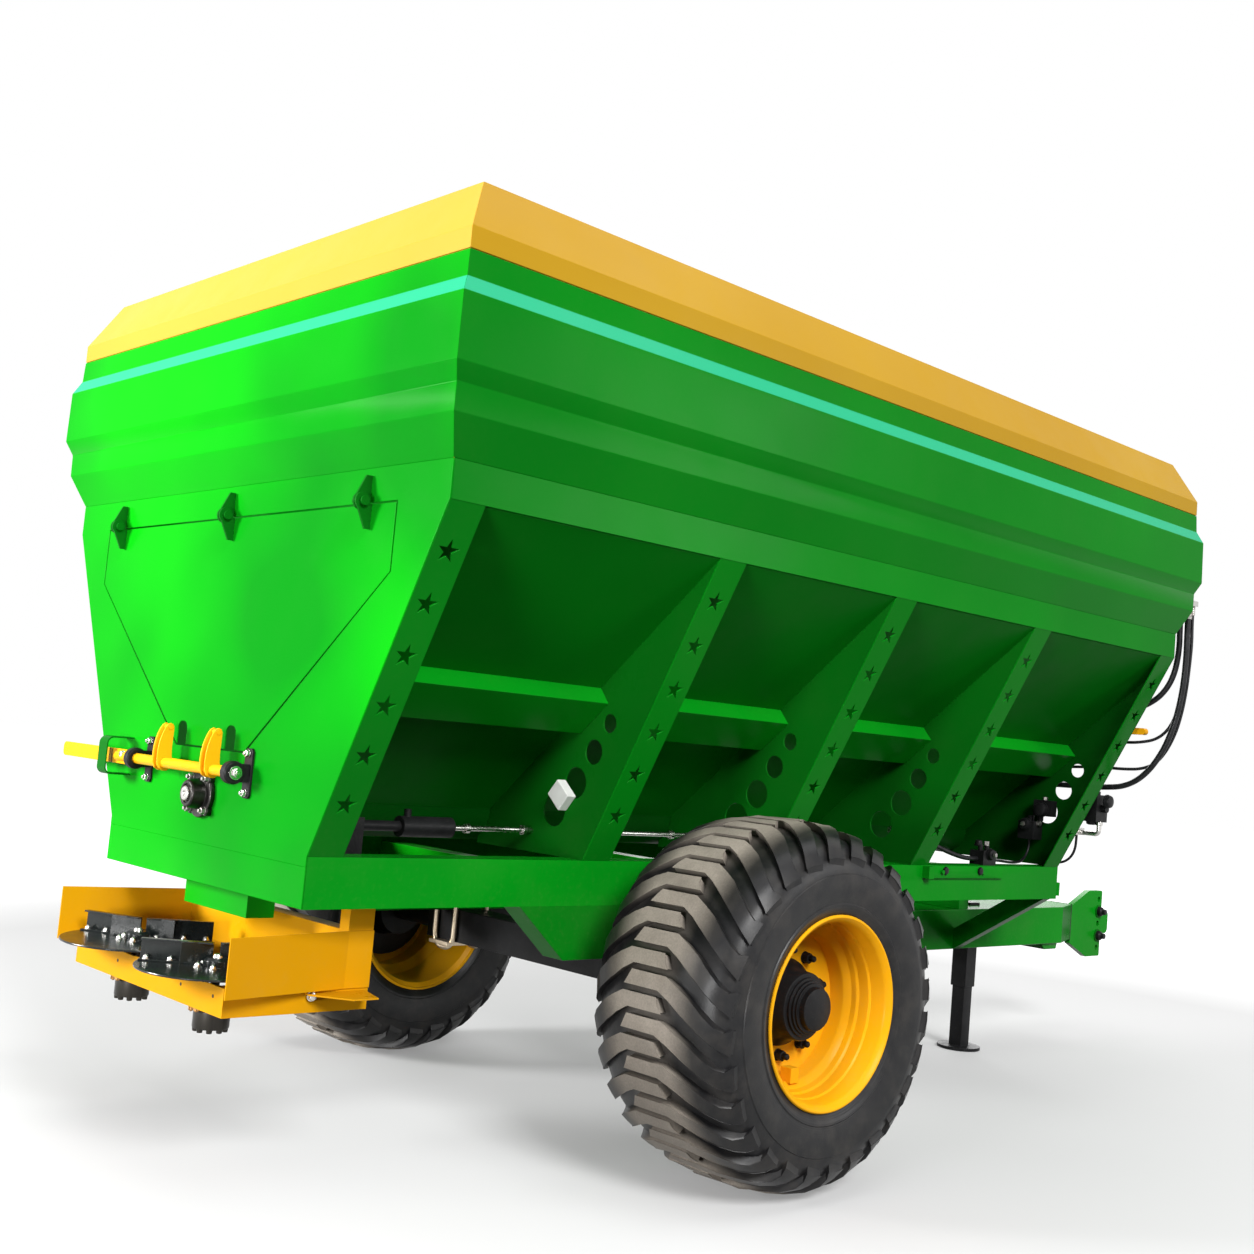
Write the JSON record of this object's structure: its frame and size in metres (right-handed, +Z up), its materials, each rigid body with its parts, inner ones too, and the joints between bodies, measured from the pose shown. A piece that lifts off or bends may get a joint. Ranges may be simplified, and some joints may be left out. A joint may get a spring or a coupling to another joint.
{
  "type": "pull-type fertilizer spreader",
  "caption": "Trailed hopper spreader: V-shaped steel hopper on a single axle, conveying auger, twin spinning discs at the rear, drawbar with parking jack.",
  "frame": {"origin": "on the ground, below the middle of the overall box", "axes": "+Y towards the hitch, +X the machine's right, +Z up"},
  "size_m": [2.704, 5.861, 2.809],
  "materials": {
    "paint_green": "gloss",
    "paint_dark_green": "gloss",
    "paint_yellow": "gloss",
    "paint_black": "satin",
    "bearing_steel": "satin",
    "tyre_rubber": "matte",
    "worn_steel": "worn",
    "plated_steel": "polished",
    "clamp_zinc": "yellow zinc plate",
    "motor_iron": "satin",
    "disc_steel": "gloss",
    "hose_rubber": "satin",
    "sensor_plastic": "satin"
  },
  "bodies": {
    "chassis": {"auger_bearings": "bearing_steel", "auger_drive": "paint_black", "auger_trough": "paint_green", "axle_beam": "paint_black", "axle_clamps": "clamp_zinc", "axle_hangers": "paint_green", "chassis_rails": "paint_green", "crossmembers": "paint_green", "crown_end_panels": "paint_yellow", "crown_joint_bands": "paint_green", "crown_side_panels": "paint_yellow", "disc_motors": "motor_iron", "discharge_chute": "paint_green", "door_hinge_brackets": "paint_dark_green", "drawbar_beam": "paint_green", "drawbar_braces": "paint_green", "drawbar_mounts": "paint_green", "flank_rod": "plated_steel", "front_hose_inner": "hose_rubber", "front_hose_lower": "hose_rubber", "front_hose_outer": "hose_rubber", "front_hose_upper": "hose_rubber", "front_panel": "paint_green", "hitch_bolts": "paint_black", "hitch_head": "paint_green", "hitch_tongue": "paint_green", "hose_unions": "plated_steel", "hydraulic_valves": "paint_black", "jack_tube": "paint_black", "latch_bearing_blocks": "paint_black", "lever_guide": "paint_dark_green", "marker_post": "plated_steel", "rail_hose": "hose_rubber", "rail_hose_link": "hose_rubber", "rear_panel": "paint_green", "rib_flanges": "paint_green", "rib_webs": "paint_green", "sensor_box": "sensor_plastic", "side_beams": "paint_green", "slope_plates": "paint_green", "spinner_frame": "paint_yellow", "spinner_guards": "paint_yellow", "stringers": "paint_green", "upper_end_walls": "paint_green", "upper_side_walls": "paint_green", "valve_hose": "hose_rubber"},
    "wheel_right": {"tyre_right": "tyre_rubber", "rim_right": "paint_yellow", "hub_right": "paint_black"},
    "wheel_left": {"tyre_left": "tyre_rubber", "rim_left": "paint_yellow", "hub_left": "paint_black"},
    "rear_door": {"rear_door": "paint_green", "door_hinge_arms": "paint_dark_green"},
    "latch_shaft": {"door_latch": "paint_yellow"},
    "auger_rotor": {"auger": "worn_steel"},
    "disc_right": {"spreading_disc_right": "disc_steel"},
    "disc_left": {"spreading_disc_left": "disc_steel"},
    "parking_jack_leg": {"jack_leg": "paint_black"}
  },
  "joints": [
    {"name": "wheel_right_spin", "type": "hinge", "parent": "chassis", "child": "wheel_right", "pos_m": [1.06, -1.1725, 0.581], "axis": [1, 0, 0], "continuous": true},
    {"name": "wheel_left_spin", "type": "hinge", "parent": "chassis", "child": "wheel_left", "pos_m": [-1.06, -1.1725, 0.581], "axis": [1, 0, 0], "continuous": true},
    {"name": "rear_door_swing", "type": "hinge", "parent": "chassis", "child": "rear_door", "pos_m": [0, -2.6895, 1.953], "axis": [-1, 0, 0], "range_deg": [0, 80]},
    {"name": "latch_turn", "type": "hinge", "parent": "chassis", "child": "latch_shaft", "pos_m": [0, -2.7155, 1.17], "axis": [1, 0, 0], "range_deg": [0, 100]},
    {"name": "auger_spin", "type": "hinge", "parent": "chassis", "child": "auger_rotor", "pos_m": [0, -0.6595, 1.088], "axis": [0, 1, 0], "continuous": true},
    {"name": "disc_right_spin", "type": "hinge", "parent": "chassis", "child": "disc_right", "pos_m": [0.258, -2.6955, 0.606], "axis": [0, 0, 1], "continuous": true},
    {"name": "disc_left_spin", "type": "hinge", "parent": "chassis", "child": "disc_left", "pos_m": [-0.258, -2.6955, 0.606], "axis": [0, 0, 1], "continuous": true},
    {"name": "jack_slide", "type": "slide", "parent": "chassis", "child": "parking_jack_leg", "axis": [0, 0, 1], "range_m": [0, 0.26]}
  ]
}
